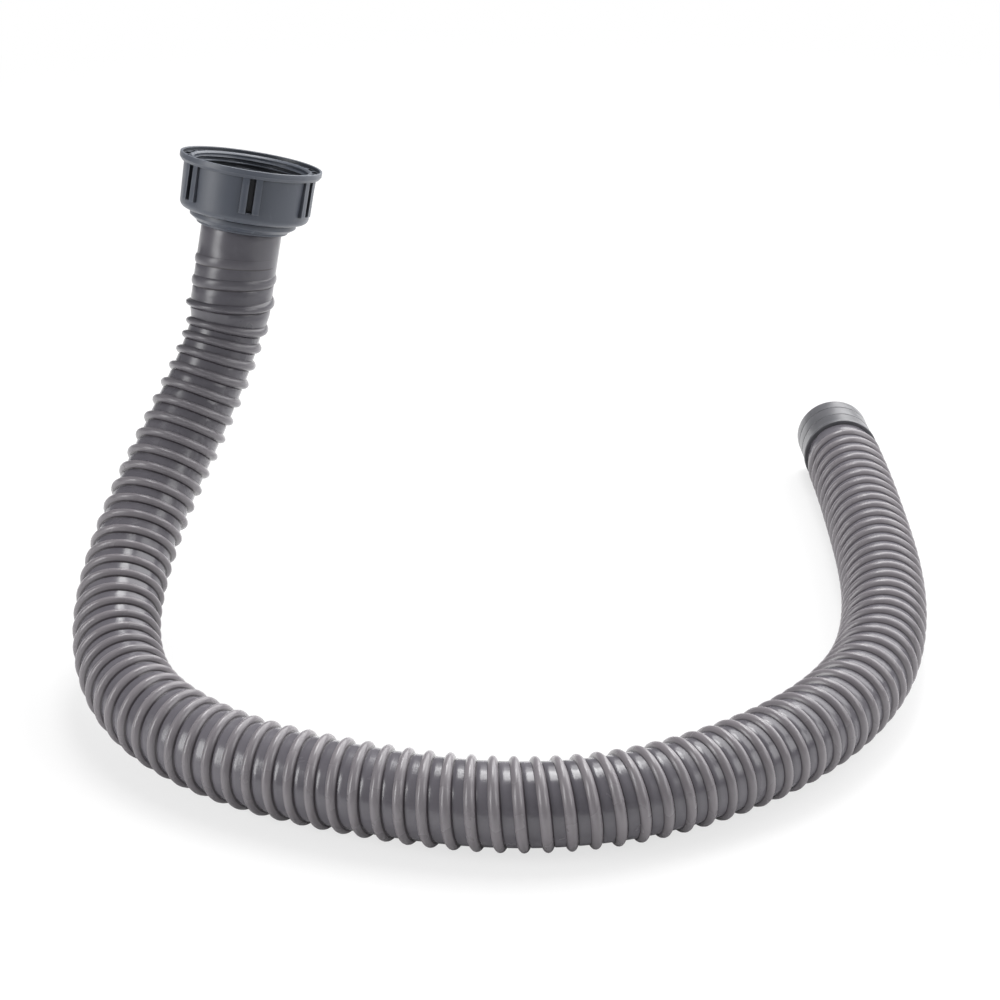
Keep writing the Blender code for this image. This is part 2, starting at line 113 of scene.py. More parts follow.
class Rounding:
    """How far from the corner of a turned piece its rounding starts."""

    CREASE = 0.0001
    FINE = 0.0002
    SOFT = 0.0003
    EDGE = 0.0004
    MOUTH = 0.0005
    LEAD = 0.0006


def eased(values: np.ndarray) -> np.ndarray:
    """Eases from 0 to 1 as the values go from 0 to 1, as 3v squared less 2v cubed."""
    held = np.clip(values, 0.0, 1.0)
    return held * held * (3.0 - 2.0 * held)


def natural_spline(points: np.ndarray, distances: np.ndarray) -> np.ndarray:
    """Reads a smooth curve through points: cubic spans whose second derivative is nil at both ends.

    Args:
        points: the points of the route, one row each.
        distances: chord distances at which the curve is read.

    Returns:
        The points of the curve, one row for each distance.
    """
    spans = np.linalg.norm(np.diff(points, axis=0), axis=1)
    knots = np.concatenate([[0.0], np.cumsum(spans)])
    count = len(points)
    system = np.eye(count)
    inner = np.arange(1, count - 1)
    system[inner, inner - 1] = spans[:-1]
    system[inner, inner] = 2.0 * (spans[:-1] + spans[1:])
    system[inner, inner + 1] = spans[1:]
    slopes = np.diff(points, axis=0) / spans[:, None]
    target = np.zeros_like(points)
    target[1:-1] = 6.0 * np.diff(slopes, axis=0)
    bends = np.linalg.solve(system, target)
    span = np.clip(np.searchsorted(knots, distances, side="right") - 1, 0, count - 2)
    width = spans[span][:, None]
    before = (distances - knots[span])[:, None]
    after = width - before
    curved = (bends[span] * after ** 3 + bends[span + 1] * before ** 3) / (6.0 * width)
    straight_start = (points[span] / width - bends[span] * width / 6.0) * after
    straight_end = (points[span + 1] / width - bends[span + 1] * width / 6.0) * before
    return curved + straight_start + straight_end


@dataclass(frozen=True)
class EndFrame:
    """A place at one end of the hose, with its axis out of the hose and two sides across it."""

    place: np.ndarray
    axis: np.ndarray
    side: np.ndarray

    @property
    def other_side(self) -> np.ndarray:
        """The second direction across the axis."""
        return np.cross(self.axis, self.side)

    def turned_points(self, angles: np.ndarray, radii: np.ndarray, heights: np.ndarray) -> np.ndarray:
        """Places points of a turned surface: place + radius (cos a side + sin a other) + height axis.

        Args:
            angles: angles about the axis.
            radii: distances from the axis.
            heights: distances along the axis.

        Returns:
            The points, with the arrays' common shape and a last axis of three.
        """
        angles, radii, heights = np.broadcast_arrays(angles, radii, heights)
        across = np.cos(angles)[..., None] * self.side + np.sin(angles)[..., None] * self.other_side
        return self.place + radii[..., None] * across + heights[..., None] * self.axis


class CentreLine:
    """The hose's centre line, measured by its true length, with frames that don't twist.

    The first side of each frame points straight up at the outlet end, and is carried back from there.
    """

    SAMPLES = 1600

    def __init__(self, points: tuple[Triple, ...]) -> None:
        """Measures the smooth curve through the route's points.

        Args:
            points: the route's points, inlet end first.
        """
        route = np.array(points)
        chord_total = np.linalg.norm(np.diff(route, axis=0), axis=1).sum()
        self.places = natural_spline(route, np.linspace(0.0, chord_total, self.SAMPLES))
        steps = np.linalg.norm(np.diff(self.places, axis=0), axis=1)
        self.distances = np.concatenate([[0.0], np.cumsum(steps)])
        self.length = float(self.distances[-1])
        tangents = np.gradient(self.places, self.distances, axis=0)
        self.tangents = tangents / np.linalg.norm(tangents, axis=1)[:, None]
        self.sides = np.zeros_like(self.tangents)
        side = np.array((0.0, 0.0, 1.0))
        for index in range(self.SAMPLES - 1, -1, -1):
            side = side - self.tangents[index] * (side @ self.tangents[index])
            side = side / np.linalg.norm(side)
            self.sides[index] = side

    def read(self, values: np.ndarray, distances: np.ndarray) -> np.ndarray:
        """Reads a sampled vector at distances along the line, straight between samples."""
        return np.stack([np.interp(distances, self.distances, values[:, axis]) for axis in range(3)], -1)

    def frames(self, distances: np.ndarray) -> tuple[np.ndarray, np.ndarray, np.ndarray]:
        """Reads the frames at distances along the line, square and of unit length.

        Args:
            distances: distances along the line, of any shape.

        Returns:
            The places, the directions along the line and the first sides across it.
        """
        tangents = self.read(self.tangents, distances)
        tangents /= np.linalg.norm(tangents, axis=-1, keepdims=True)
        sides = self.read(self.sides, distances)
        sides -= tangents * np.sum(sides * tangents, axis=-1, keepdims=True)
        sides /= np.linalg.norm(sides, axis=-1, keepdims=True)
        return self.read(self.places, distances), tangents, sides

    def surface(self, distances: np.ndarray, angles: np.ndarray, radii: np.ndarray) -> np.ndarray:
        """Places points about the line: centre + radius (cos a side + sin a other side).

        Args:
            distances: distances along the line.
            angles: angles about the line.
            radii: distances from the line.

        Returns:
            The points, with the arrays' common shape and a last axis of three.
        """
        distances, angles, radii = np.broadcast_arrays(distances, angles, radii)
        places, tangents, sides = self.frames(distances)
        across = np.cos(angles)[..., None] * sides + np.sin(angles)[..., None] * np.cross(tangents, sides)
        return places + radii[..., None] * across

    def end_frame(self, distance: float, outward: float) -> EndFrame:
        """Gives an end's frame. Outward is 1 where the line leaves the hose, and -1 where it enters."""
        place, tangent, side = self.frames(np.array(distance))
        return EndFrame(place, outward * tangent, side)


def grid_quads(rows: int, columns: int, round_rows: bool, round_columns: bool) -> np.ndarray:
    """Numbers the quads of a grid whose points are counted row by row.

    Args:
        rows: how many rows of points there are.
        columns: how many points a row has.
        round_rows: whether the last row joins the first.
        round_columns: whether each row's end joins its start.

    Returns:
        Four point numbers for each quad.
    """
    row = np.arange(rows if round_rows else rows - 1)[:, None]
    column = np.arange(columns if round_columns else columns - 1)[None, :]
    next_row = (row + 1) % rows
    next_column = (column + 1) % columns
    corners = (
        row * columns + column,
        row * columns + next_column,
        next_row * columns + next_column,
        next_row * columns + column,
    )
    return np.stack(np.broadcast_arrays(*corners), -1).reshape(-1, 4)


def make_piece(
    name: str,
    points: np.ndarray,
    faces: np.ndarray,
    lay: np.ndarray | None = None,
    sharp_from: float = 40.0,
) -> bpy.types.Object:
    """Makes a smooth-shaded object from points and faces of three or four corners.

    Args:
        name: the object's name.
        points: the points, in the part's frame.
        faces: four point numbers for each face, with the last one repeated in a triangle.
        lay: the surface coordinates of each face's corners, or None.
        sharp_from: the angle in degrees from which an edge stays sharp.

    Returns:
        The object, linked to the scene, with its faces pointing outwards.
    """
    sizes = np.where(faces[:, 2] == faces[:, 3], 3, 4)
    starts = np.concatenate([[0], np.cumsum(sizes)[:-1]])
    used = np.arange(4)[None, :] < sizes[:, None]
    mesh = bpy.data.meshes.new(name)
    mesh.vertices.add(len(points))
    mesh.vertices.foreach_set("co", points.astype(np.float32).ravel())
    mesh.loops.add(int(sizes.sum()))
    mesh.loops.foreach_set("vertex_index", faces[used].astype(np.int32))
    mesh.polygons.add(len(faces))
    mesh.polygons.foreach_set("loop_start", starts.astype(np.int32))
    if lay is not None:
        layer = mesh.uv_layers.new(name="lay")
        layer.data.foreach_set("uv", lay[used].astype(np.float32).ravel())
    mesh.update(calc_edges=True)
    builder = bmesh.new()
    builder.from_mesh(mesh)
    bmesh.ops.recalc_face_normals(builder, faces=builder.faces)
    builder.to_mesh(mesh)
    builder.free()
    mesh.shade_smooth()
    mesh.set_sharp_from_angle(angle=math.radians(sharp_from))
    piece = bpy.data.objects.new(name, mesh)
    bpy.context.scene.collection.objects.link(piece)
    return piece


def rounded_profile(corners: tuple[Triple, ...], steps: int = 4) -> np.ndarray:
    """Rounds the corners of a closed profile with short curves.

    Each corner is replaced by the quadratic curve (1-t)^2 a + 2t(1-t) corner + t^2 b, which leaves the
    two sides at the corner's own rounding distance.

    Args:
        corners: the radius, height and rounding of each corner, in order round the profile.
        steps: how many spans a rounded corner has.

    Returns:
        Radius and height of each point of the profile.
    """
    places = np.array([corner[:2] for corner in corners])
    rounding = np.array([corner[2] for corner in corners])[:, None]
    to_previous = np.roll(places, 1, axis=0) - places
    to_next = np.roll(places, -1, axis=0) - places
    to_previous /= np.linalg.norm(to_previous, axis=1, keepdims=True)
    to_next /= np.linalg.norm(to_next, axis=1, keepdims=True)
    share = np.linspace(0.0, 1.0, steps + 1)[None, :, None]
    first = (places + to_previous * rounding)[:, None, :]
    last = (places + to_next * rounding)[:, None, :]
    curves = (1 - share) ** 2 * first + 2 * share * (1 - share) * places[:, None, :] + share ** 2 * last
    return curves.reshape(-1, 2)


class Graph:
    """A short way to write the nodes of a material or of a node group."""

    def __init__(self, tree: bpy.types.NodeTree) -> None:
        """Keeps the tree that the nodes go into."""
        self.tree = tree

    def feed(self, node: bpy.types.Node, inputs: dict[str | int, object]) -> None:
        """Gives a node its inputs.

        Args:
            node: the node.
            inputs: a socket to link or a value to set, for each input's name or number.
        """
        for key, value in inputs.items():
            if isinstance(value, Socket):
                self.tree.links.new(value, node.inputs[key])
            else:
                node.inputs[key].default_value = value

    def node(
        self, kind: str, inputs: dict[str | int, object] | None = None, **settings: object
    ) -> bpy.types.Node:
        """Adds a node.

        Args:
            kind: the node's type, without its leading ShaderNode.
            inputs: its inputs, as feed takes them.
            settings: the node's own properties.

        Returns:
            The new node.
        """
        node = self.tree.nodes.new(f"ShaderNode{kind}")
        for key, value in settings.items():
            setattr(node, key, value)
        self.feed(node, inputs or {})
        return node

    def math(self, operation: str, *values: object) -> Socket:
        """Adds a Math node and gives its result."""
        return self.node("Math", dict(enumerate(values)), operation=operation).outputs[0]

    def ramp(self, value: Socket, low: float, high: float, start: float, end: float) -> Socket:
        """Maps a value smoothly from one range to another, and gives the result."""
        inputs = {"Value": value, "From Min": low, "From Max": high, "To Min": start, "To Max": end}
        return self.node("MapRange", inputs, interpolation_type="SMOOTHSTEP").outputs["Result"]

    def mix(self, share: Socket, first: Socket | Triple, second: Socket | Triple) -> Socket:
        """Mixes two colours by a share, and gives the result."""
        ends = [colour if isinstance(colour, Socket) else opaque(colour) for colour in (first, second)]
        return self.node("Mix", {0: share, 6: ends[0], 7: ends[1]}, data_type="RGBA").outputs[2]

    def noise(self, place: Socket, scale: Socket | float, detail: float) -> Socket:
        """Adds a noise texture and gives its value."""
        return self.node("TexNoise", {"Vector": place, "Scale": scale, "Detail": detail}).outputs["Fac"]

    def stretched(self, place: Socket, scale: Triple) -> Socket:
        """Scales a place differently along each axis."""
        return self.node("Mapping", {"Vector": place, "Scale": scale}).outputs[0]

    def group(self, tree: bpy.types.NodeTree, **inputs: float) -> bpy.types.Node:
        """Places a shared node group with a material's own values, each named as its input is."""
        return self.node("Group", inputs, node_tree=tree)


class SharedEffects:
    """Node groups that more than one finish uses."""

    SLOW_SHARE = 0.6
    CLOUD_RANGE = (0.32, 0.68)
    FLAT_POINTINESS = 0.505
    SCUFF_STRETCH = (1.0, 3.0, 0.4)
    SCUFF_RANGE = (0.62, 0.74)

    def __init__(self) -> None:
        """Builds each group once."""
        self.grain = self._grain()
        self.handling_and_edge_highlight = self._handling_and_edge_highlight()

    @staticmethod
    def _new_group(
        name: str, inputs: tuple[str, ...], outputs: tuple[str, ...]
    ) -> tuple[Graph, bpy.types.Node, bpy.types.Node]:
        """Makes a node group whose inputs and outputs are plain numbers.

        Args:
            name: the group's name.
            inputs: the names of its inputs.
            outputs: the names of its outputs.

        Returns:
            The group's graph, the node that holds its inputs and the node that takes its outputs.
        """
        tree = bpy.data.node_groups.new(name, "ShaderNodeTree")
        for direction, sockets in (("INPUT", inputs), ("OUTPUT", outputs)):
            for socket in sockets:
                tree.interface.new_socket(socket, in_out=direction, socket_type="NodeSocketFloat")
        return Graph(tree), tree.nodes.new("NodeGroupInput"), tree.nodes.new("NodeGroupOutput")

    def _grain(self) -> bpy.types.NodeTree:
        """Builds the grain of moulded plastic: a fine stipple with a slow unevenness under it.

        Its height is the fine noise plus a share of the slow one, and its cloud is the slow noise alone.

        Returns:
            The node group.
        """
        graph, given, result = self._new_group(
            "moulded_grain", ("fine_scale", "slow_scale"), ("height", "cloud")
        )
        place = graph.node("TexCoord").outputs["Object"]
        fine = graph.noise(place, given.outputs["fine_scale"], detail=3.0)
        slow = graph.noise(place, given.outputs["slow_scale"], detail=4.0)
        graph.feed(result, {
            "height": graph.math("ADD", fine, graph.math("MULTIPLY", slow, self.SLOW_SHARE)),
            "cloud": graph.ramp(slow, *self.CLOUD_RANGE, 0.0, 1.0),
        })
        return graph.tree

    def _handling_and_edge_highlight(self) -> bpy.types.NodeTree:
        """Builds paler edges and scattered short scuffs: the edges are partly rubbed wear and partly a
        painted highlight, and the scuffs are wear.

        The paler edges follow how far the surface bulges outwards, and scuffs are the thin crests of a
        stretched noise.

        Returns:
            The node group.
        """
        graph, given, result = self._new_group(
            "handling_marks_and_edge_highlight", ("edge_width", "scuff_scale"), ("worn_and_highlit_edges", "scuffs")
        )
        bulge = graph.node("NewGeometry").outputs["Pointiness"]
        widest = graph.math("ADD", self.FLAT_POINTINESS, given.outputs["edge_width"])
        edges = {"Value": bulge, "From Min": self.FLAT_POINTINESS, "From Max": widest}
        place = graph.stretched(graph.node("TexCoord").outputs["Object"], self.SCUFF_STRETCH)
        noise = graph.noise(place, given.outputs["scuff_scale"], detail=6.0)
        graph.feed(result, {
            "worn_and_highlit_edges": graph.node("MapRange", edges).outputs["Result"],
            "scuffs": graph.ramp(noise, *self.SCUFF_RANGE, 0.0, 1.0),
        })
        return graph.tree


def new_material(name: str) -> tuple[bpy.types.Material, Graph, bpy.types.Node]:
    """Makes a node material.

    Args:
        name: the material's name.

    Returns:
        The material, its graph and its Principled shader.
    """
    material = bpy.data.materials.new(name)
    material.use_nodes = True
    shader = material.node_tree.nodes["Principled BSDF"]
    return material, Graph(material.node_tree), shader


def opaque(colour: Triple) -> tuple[float, float, float, float]:
    """Gives a colour its full alpha."""
    return (*colour, 1.0)


@dataclass(frozen=True)
class MouldedPlastic:
    """Satin moulded plastic or rubber: one colour with fine grain, edges paled partly by rubbing and partly
    as a painted highlight, scuffs, and painted shade in the hollows.

    A hollow is a place that little light reaches from all round, such as a slot, a pocket or the bore;
    there the base colour is darkened by ambient occlusion as painted shade.
    """

    name: str
    colour: Triple
    cloud_colour: Triple
    wear_and_highlight_colour: Triple
    roughness: float
    scuffed_roughness: float
    cloud_share: float = 0.6
    edge_wear_and_highlight_share: float = 0.5
    scuffed_share: float = 0.25
    edge_width: float = 0.05
    scuff_scale: float = 90.0
    fine_scale: float = 2600.0
    slow_scale: float = 60.0
    painted_shade_colour: Triple = (0.010, 0.011, 0.013)
    painted_shade_strength: float = 0.85
    painted_shade_reach: float = 0.035
    painted_shade_openness: Pair = (0.42, 0.78)
    grain_height: float = 0.00004
    grain_strength: float = 0.30

    def make(self, effects: SharedEffects) -> bpy.types.Material:
        """Builds the material's nodes, each colour laid over the one before by its share.

        Args:
            effects: the shared node groups.

        Returns:
            The finished material.
        """
        material, graph, shader = new_material(self.name)
        grain = graph.group(effects.grain, fine_scale=self.fine_scale, slow_scale=self.slow_scale).outputs
        marks = graph.group(
            effects.handling_and_edge_highlight, edge_width=self.edge_width, scuff_scale=self.scuff_scale
        ).outputs
        openness = graph.node("AmbientOcclusion", {"Distance": self.painted_shade_reach}).outputs["AO"]
        colour = self.colour
        for share, over in (
            (graph.math("MULTIPLY", grain["cloud"], self.cloud_share), self.cloud_colour),
            # Paler convex edges: partly rubbed wear, partly a painted highlight along the edges.
            (graph.math("MULTIPLY", marks["worn_and_highlit_edges"], self.edge_wear_and_highlight_share), self.wear_and_highlight_colour),
            (graph.math("MULTIPLY", marks["scuffs"], self.scuffed_share), self.wear_and_highlight_colour),
            # Painted shade: the base colour darkens towards the shade colour where ambient occlusion finds
            # the surface closed in.
            (graph.ramp(openness, *self.painted_shade_openness, self.painted_shade_strength, 0.0), self.painted_shade_colour),
        ):
            colour = graph.mix(share, colour, over)
        relief = {
            "Height": grain["height"], "Distance": self.grain_height, "Strength": self.grain_strength
        }
        graph.feed(shader, {
            "Base Color": colour,
            "Roughness": graph.ramp(marks["scuffs"], 0.0, 1.0, self.roughness, self.scuffed_roughness),
            "Normal": graph.node("Bump", relief).outputs["Normal"],
        })
        return material


@dataclass(frozen=True)
class RibbedHosePlastic:
    """Extruded hose plastic: a glossy dark wall between duller, paler spiral ribs.

    The first surface coordinate counts rib pitches along the hose, so its fraction is the place across
    one pitch: the rib fills the first share of it and the wall the rest. The rib's edges and the painted
    shade in its two creases, darker at its far foot, are given in half rib widths past its crest. The
    first ribs, on the stretched neck, are hardly paler than the wall, and the whole hose darkens with
    height towards the neck.
    """

    rib_share: float
    name: str = "ribbed_hose_plastic"
    wall_colour: Triple = (0.104, 0.098, 0.113)
    wall_cloud: Triple = (0.126, 0.119, 0.135)
    rib_colour: Triple = (0.196, 0.182, 0.195)
    rib_cloud: Triple = (0.170, 0.158, 0.171)
    rib_edge: Pair = (0.88, 1.02)
    painted_crease_shade_colour: Triple = (0.030, 0.024, 0.026)
    far_shade_start: Pair = (0.84, 1.00)
    far_shade_end: Pair = (1.08, 1.26)
    far_shade_share: float = 0.72
    near_shade: Pair = (-0.99, -0.84)
    near_shade_share: float = 0.40
    neck_pitches: Pair = (1.8, 3.2)
    neck_rib_share: float = 0.30
    neck_colour: Triple = (0.072, 0.070, 0.082)
    neck_heights: Pair = (0.045, 0.170)
    neck_darkening: float = 0.8
    wall_roughness: float = 0.20
    rib_roughness: float = 0.25
    neck_roughening: float = 0.10
    cloud_roughening: float = 0.05
    scuff_roughening: float = 0.12
    fine_scale: float = 1800.0
    slow_scale: float = 38.0
    scuff_scale: float = 60.0
    line_stretch: Triple = (26.0, 5.0, 1.0)
    grain_share: float = 0.10
    relief_height: float = 0.00010
    relief_strength: float = 0.30

    def make(self, effects: SharedEffects) -> bpy.types.Material:
        """Builds the material's nodes.

        Args:
            effects: the shared node groups.

        Returns:
            The finished material.
        """
        material, graph, shader = new_material(self.name)
        lay = graph.node("UVMap", uv_map="lay").outputs["UV"]
        pitches = graph.node("SeparateXYZ", {"Vector": lay}).outputs["X"]
        doubled = graph.math("MULTIPLY", graph.math("FRACT", pitches), 2.0 / self.rib_share)
        past_crest = graph.math("SUBTRACT", doubled, 1.0)
        on_rib = graph.math(
            "MULTIPLY",
            graph.ramp(graph.math("ABSOLUTE", past_crest), *self.rib_edge, 1.0, 0.0),
            graph.ramp(pitches, *self.neck_pitches, self.neck_rib_share, 1.0),
        )
        # Painted shade: the creases at each rib's feet are darkened, most just past its far foot, standing
        # in for the rib's shadow and the shade in the crease.
        far_shade = graph.math(
            "MULTIPLY",
            graph.ramp(past_crest, *self.far_shade_start, 0.0, self.far_shade_share),
            graph.ramp(past_crest, *self.far_shade_end, 1.0, 0.0),
        )
        near_shade = graph.ramp(past_crest, *self.near_shade, self.near_shade_share, 0.0)
        painted_crease_shade = graph.math("MAXIMUM", far_shade, near_shade)
        grain = graph.group(effects.grain, fine_scale=self.fine_scale, slow_scale=self.slow_scale).outputs
        scuffs = graph.group(effects.handling_and_edge_highlight, scuff_scale=self.scuff_scale).outputs["scuffs"]
        wall = graph.mix(grain["cloud"], self.wall_colour, self.wall_cloud)
        rib = graph.mix(grain["cloud"], self.rib_colour, self.rib_cloud)
        place = graph.node("TexCoord").outputs["Object"]
        above_floor = graph.node("SeparateXYZ", {"Vector": place}).outputs["Z"]
        on_neck = graph.ramp(above_floor, *self.neck_heights, 0.0, self.neck_darkening)
        plain = graph.mix(on_neck, graph.mix(on_rib, wall, rib), self.neck_colour)
        roughness = graph.ramp(on_rib, 0.0, 1.0, self.wall_roughness, self.rib_roughness)
        for share, roughening in (
            (grain["cloud"], self.cloud_roughening),
            (on_neck, self.neck_roughening),
            (scuffs, self.scuff_roughening),
        ):
            roughness = graph.math("ADD", roughness, graph.math("MULTIPLY", share, roughening))
        lines = graph.noise(graph.stretched(lay, self.line_stretch), 1.0, detail=4.0)
        height = graph.math("ADD", lines, graph.math("MULTIPLY", grain["height"], self.grain_share))
        relief = {"Height": height, "Distance": self.relief_height, "Strength": self.relief_strength}
        graph.feed(shader, {
            "Base Color": graph.mix(painted_crease_shade, plain, self.painted_crease_shade_colour),
            "Roughness": roughness,
            "Normal": graph.node("Bump", relief).outputs["Normal"],
        })
        return material


def finish_piece(
    piece: bpy.types.Object, material: bpy.types.Material, body: Body, node: str
) -> bpy.types.Object:
    """Dresses a piece, puts it on its body and lets it stand for its solid.

    Args:
        piece: the new object.
        material: its finish.
        body: the body that it moves with.
        node: the solid that it stands for.

    Returns:
        The same piece.
    """
    piece.data.materials.append(material)
    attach(piece, body.value)
    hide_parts(node)
    LOG.info("%s: %d faces on %s", piece.name, len(piece.data.polygons), body.value)
    return piece


@dataclass(frozen=True)
class RibbedHose:
    """The open hose, with its right-handed spiral rib, its stretched neck and the waist below it.

    Stretch is how far the rib has moved along the hose from an even pitch, at each of stretch_turns.
    Stations are shares of the rib's width and of the wall between two ribs. The first one on the wall
    is the floor of the fine groove behind the rib.
    """

    wall_radius: float = 0.0181
    wall: float = 0.0018
    rib_height: float = 0.0022
    neck_rib_height: float = 0.0008
    rib_width: float = 0.0046
    rib_pitch: float = 0.00938
    rib_flatness: float = 2.2
    rib_fullness: float = 0.85
    first_rib: float = 0.01105
    rib_start_turn: float = -3.0 / 14.0
    rib_fade_turns: float = 0.5
    end_fade_turns: float = 0.15
    stretch_turns: tuple[float, ...] = (0.0, 1.0, 2.0, 3.0, 4.0, 5.0, 6.0, 88.0, 94.0, 95.0)
    stretch: tuple[float, ...] = (
        0.0, 0.0002, 0.0024, 0.0058, 0.0040, 0.0026, 0.0022, 0.0022, 0.0067, 0.0027
    )
    neck_wall_radius: float = 0.0193
    neck_ribs_end: float = 0.0280
    neck_length: float = 0.0395
    neck_taper: float = 0.0110
    waist_radius: float = 0.0172
    waist_length: float = 0.0600
    edge: float = 0.0004
    sides: int = 60
    rib_stations: tuple[float, ...] = (0.0, 0.03, 0.085, 0.17, 0.31, 0.5, 0.69, 0.83, 0.915, 0.97, 1.0)
    wall_stations: tuple[float, ...] = (0.06, 0.14, 0.50, 0.90)
    groove_depth: float = 0.0003
    lip_rings: Pair = (0.006, 0.003)
    neck_rings: int = 14
    free_rings: int = 90
    plain_lay: float = 0.75
    diameter: float = 0.0406

    @property
    def neck_end(self) -> float:
        """Distance along the hose at which the neck has tapered down to the waist."""
        return self.neck_length + self.neck_taper

    def outside(self, distances: np.ndarray) -> np.ndarray:
        """Gives the wall's outside radius: wide over the spigot, pinched below it, then the free wall.

        Args:
            distances: distances along the hose.

        Returns:
            The radius at each distance.
        """
        pinched = eased((distances - self.neck_length) / self.neck_taper)
        relaxed = eased((distances - self.neck_end) / self.waist_length)
        wide = self.neck_wall_radius + (self.waist_radius - self.neck_wall_radius) * pinched
        return wide + (self.wall_radius - self.waist_radius) * relaxed

    def rib_profile(self, across: np.ndarray) -> np.ndarray:
        """Gives the rib's share of its height: (1 - t^flatness)^fullness, t being nil at its crest."""
        from_crest = np.clip(np.abs(2.0 * across / self.rib_width - 1.0), 0.0, 1.0)
        return (1.0 - from_crest ** self.rib_flatness) ** self.rib_fullness

    def full_height(self, distances: np.ndarray) -> np.ndarray:
        """Gives the rib's full height over the wall, which is low where the neck is stretched."""
        full = eased((distances - self.neck_ribs_end) / (self.neck_length - self.neck_ribs_end))
        return self.neck_rib_height + (self.rib_height - self.neck_rib_height) * full

    def rib_places(self, turn: np.ndarray) -> np.ndarray:
        """Gives where the rib starts: spread over the spigot, bunched below it, and up to the cuff."""
        return self.first_rib + turn * self.rib_pitch + np.interp(turn, self.stretch_turns, self.stretch)

    def spiral_rows(self, line: CentreLine) -> tuple[np.ndarray, np.ndarray, int]:
        """Works out the rows that run round the hose beside its spiral rib.

        A row climbs one pitch in one turn, so its end meets the row that lies one pitch further on. The
        rib keeps its width where the pitch is stretched, and the wall beside it takes up the rest.

        Args:
            line: the hose's centre line.

        Returns:
            The points by row and side, each row's place in pitches, and the number of rows in a pitch.
        """
        turns = math.floor((line.length - self.first_rib - self.stretch[-1]) / self.rib_pitch) - 1
        wall_width = self.rib_pitch - self.rib_width
        on_rib = np.array(self.rib_stations) * self.rib_width
        on_wall = self.rib_width + np.array(self.wall_stations) * wall_width
        stations = np.concatenate([on_rib, on_wall])
        count = len(stations)
        pitches, part = np.divmod(np.arange(count * turns + 1), count)
        across = stations[part]
        share = np.arange(self.sides) / self.sides
        turn = pitches[:, None] + share[None, :]
        beyond_rib = np.clip(across / self.rib_width - 1.0, 0.0, None) * self.rib_width
        wall_room = self.rib_places(turn + 1.0) - self.rib_places(turn) - self.rib_width
        past_start = (across - beyond_rib)[:, None] + beyond_rib[:, None] / wall_width * wall_room
        distances = self.rib_places(turn) + past_start
        fade = eased(turn / self.rib_fade_turns) * eased((turns - turn) / self.end_fade_turns)
        rise = self.rib_profile(across)[:, None] * self.full_height(distances)
        sink = self.groove_depth * (part == len(on_rib))[:, None]
        radii = self.outside(distances) + (rise - sink) * fade
        angles = TURN * (share[None, :] + self.rib_start_turn)
        return line.surface(distances, angles, radii), pitches + across / self.rib_pitch, count

    def plain_rings(self, line: CentreLine) -> np.ndarray:
        """Works out the flat rings from the first rib over the inlet lip, down the bore and back out.

        Args:
            line: the hose's centre line.

        Returns:
            The points by ring and side.
        """
        length, edge = line.length, self.edge
        before_rib = self.first_rib - self.rib_width / 2
        outside_in = np.array([before_rib, *self.lip_rings, edge, edge / 3, 0.0])
        lowered_in = np.array([0.0, 0.0, 0.0, 0.0, edge / 3, edge])
        neck_bore = np.linspace(0.0, self.neck_end, self.neck_rings)
        free_bore = np.linspace(self.neck_end, length, self.free_rings)[1:]
        bore = np.concatenate([neck_bore, free_bore])
        outside_out = np.array([0.0, edge / 3, edge])
        lowered_out = np.array([edge, edge / 3, 0.0])
        distances = np.concatenate([outside_in, bore, length - outside_out])
        radii = np.concatenate([
            self.outside(outside_in) - lowered_in,
            self.outside(bore) - self.wall,
            self.outside(length - outside_out) - lowered_out,
        ])
        angles = TURN * (np.arange(self.sides) / self.sides + self.rib_start_turn)
        return line.surface(distances[:, None], angles[None, :], radii[:, None])

    def build(self, line: CentreLine) -> bpy.types.Object:
        """Joins the spiral rows and the plain rings into one closed surface.

        Args:
            line: the hose's centre line.

        Returns:
            The hose.
        """
        spiral, pitches, per_pitch = self.spiral_rows(line)
        plain = self.plain_rings(line)
        rows, sides = spiral.shape[:2]
        last = sides - 1
        number = np.arange(rows * sides).reshape(rows, sides)
        ring = rows * sides + np.arange(len(plain) * sides).reshape(len(plain), sides)
        between = grid_quads(rows, sides, False, False)
        seam_row = np.arange(rows - 1 - per_pitch)
        seam = np.stack([
            number[seam_row, last],
            number[seam_row + per_pitch, 0],
            number[seam_row + per_pitch + 1, 0],
            number[seam_row + 1, last],
        ], -1)
        plain_faces = rows * sides + grid_quads(len(plain), sides, False, True)
        first_strip = np.stack([ring[0, :-1], ring[0, 1:], number[0, 1:], number[0, :-1]], -1)
        last_strip = np.stack([number[-1, :-1], number[-1, 1:], ring[-1, 1:], ring[-1, :-1]], -1)
        first_fan = self.fan(number[0, last], [ring[0, last], ring[0, 0], *number[:per_pitch + 1, 0]])
        last_fan = self.fan(number[-1, 0], [*number[-1 - per_pitch:, last], ring[-1, last], ring[-1, 0]])
        faces = [between, seam, plain_faces, first_strip, last_strip, first_fan, last_fan]
        lay = self.lay_of(faces, pitches, sides)
        points = np.concatenate([spiral.reshape(-1, 3), plain.reshape(-1, 3)])
        return make_piece("ribbed_hose", points, np.concatenate(faces), lay)

    @staticmethod
    def fan(corner: int, points: list[int]) -> np.ndarray:
        """Lists the triangles that fill a strip of points from one corner.

        Args:
            corner: the number of the corner's point.
            points: the numbers of the strip's points.

        Returns:
            Four point numbers for each triangle, with the last one repeated.
        """
        strip = np.array(points)
        corners = np.full(len(strip) - 1, corner)
        return np.stack([corners, strip[:-1], strip[1:], strip[1:]], -1)

